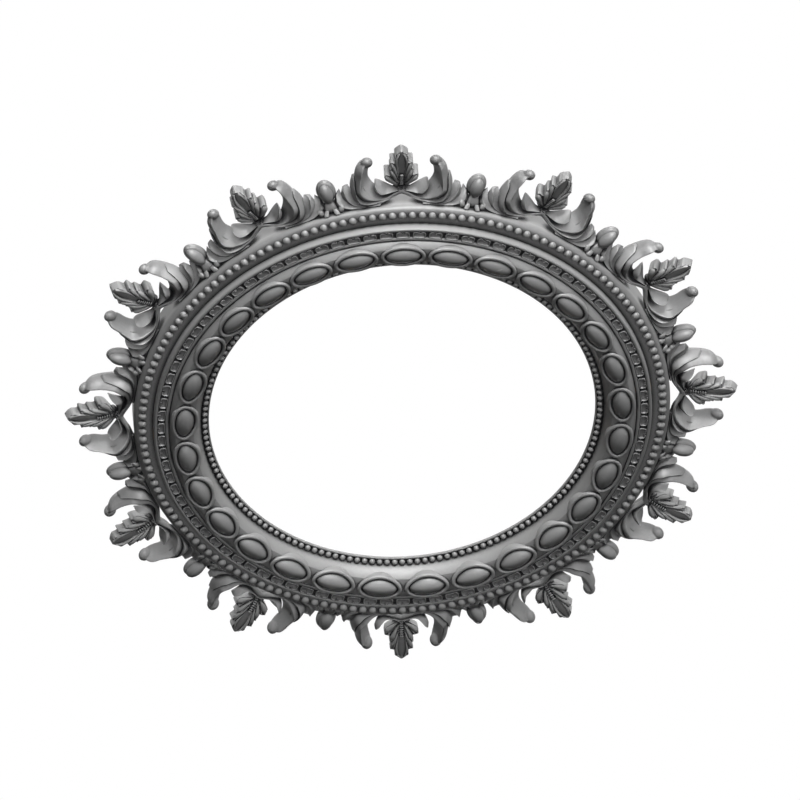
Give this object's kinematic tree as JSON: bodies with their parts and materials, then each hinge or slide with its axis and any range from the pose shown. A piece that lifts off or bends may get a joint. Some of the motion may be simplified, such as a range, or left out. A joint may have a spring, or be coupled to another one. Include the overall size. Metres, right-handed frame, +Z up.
{
  "type": "round carved picture frame",
  "caption": "Round carved picture frame with a beaded rim, a course of eggs, leaf crests and oval bosses around it, turn buttons and folding hanging rings behind.",
  "frame": {"origin": "centre of the ring on the wall plane, which the frame's back lies in", "axes": "+Z up the wall with a leaf crest at the top, +Y into the wall, so the carved front faces -Y, +X to the viewer's right"},
  "size_m": [0.6078, 0.0525, 0.6078],
  "materials": {
    "carved_grey": "satin grey paint over carved wood",
    "bare_wood": "satin grey paint on the sides, plain behind",
    "steel": "zinc-plated"
  },
  "bodies": {
    "frame": {"back_ring": "bare_wood", "bead_moulding": "carved_grey", "chain_moulding": "carved_grey", "egg_moulding": "carved_grey", "sight_slip": "carved_grey", "crest_spray_01": "carved_grey", "crest_leaf_01": "carved_grey", "oval_boss_01": "carved_grey", "crest_spray_02": "carved_grey", "crest_leaf_02": "carved_grey", "oval_boss_02": "carved_grey", "crest_spray_03": "carved_grey", "crest_leaf_03": "carved_grey", "oval_boss_03": "carved_grey", "crest_spray_04": "carved_grey", "crest_leaf_04": "carved_grey", "oval_boss_04": "carved_grey", "crest_spray_05": "carved_grey", "crest_leaf_05": "carved_grey", "oval_boss_05": "carved_grey", "crest_spray_06": "carved_grey", "crest_leaf_06": "carved_grey", "oval_boss_06": "carved_grey", "crest_spray_07": "carved_grey", "crest_leaf_07": "carved_grey", "oval_boss_07": "carved_grey", "crest_spray_08": "carved_grey", "crest_leaf_08": "carved_grey", "oval_boss_08": "carved_grey", "crest_spray_09": "carved_grey", "crest_leaf_09": "carved_grey", "oval_boss_09": "carved_grey", "crest_spray_10": "carved_grey", "crest_leaf_10": "carved_grey", "oval_boss_10": "carved_grey", "crest_spray_11": "carved_grey", "crest_leaf_11": "carved_grey", "oval_boss_11": "carved_grey", "crest_spray_12": "carved_grey", "crest_leaf_12": "carved_grey", "oval_boss_12": "carved_grey", "button_screw_top": "steel", "button_screw_right": "steel", "button_screw_bottom": "steel", "button_screw_left": "steel", "hanger_strap_left": "steel", "hanger_strap_right": "steel", "strap_screw_left_1": "steel", "strap_screw_left_2": "steel", "strap_screw_right_1": "steel", "strap_screw_right_2": "steel"},
    "turn_button_top": {"turn_button_top": "steel"},
    "turn_button_right": {"turn_button_right": "steel"},
    "turn_button_bottom": {"turn_button_bottom": "steel"},
    "turn_button_left": {"turn_button_left": "steel"},
    "hanger_ring_left": {"hanger_ring_left": "steel"},
    "hanger_ring_right": {"hanger_ring_right": "steel"}
  },
  "joints": [
    {"name": "turn_button_top_pivot", "type": "hinge", "parent": "frame", "child": "turn_button_top", "pos_m": [0, 0, 0.2045], "axis": [0, 1, 0], "continuous": true},
    {"name": "turn_button_right_pivot", "type": "hinge", "parent": "frame", "child": "turn_button_right", "pos_m": [0.2045, 0, 0], "axis": [0, 1, 0], "continuous": true},
    {"name": "turn_button_bottom_pivot", "type": "hinge", "parent": "frame", "child": "turn_button_bottom", "pos_m": [0, 0, -0.2045], "axis": [0, 1, 0], "continuous": true},
    {"name": "turn_button_left_pivot", "type": "hinge", "parent": "frame", "child": "turn_button_left", "pos_m": [-0.2045, 0, 0], "axis": [0, 1, 0], "continuous": true},
    {"name": "hanger_ring_left_hinge", "type": "hinge", "parent": "frame", "child": "hanger_ring_left", "pos_m": [-0.17174, 0.00305, 0.14411], "axis": [1, 0, 0], "range_deg": [0, 180]},
    {"name": "hanger_ring_right_hinge", "type": "hinge", "parent": "frame", "child": "hanger_ring_right", "pos_m": [0.17174, 0.00305, 0.14411], "axis": [1, 0, 0], "range_deg": [0, 180]}
  ]
}
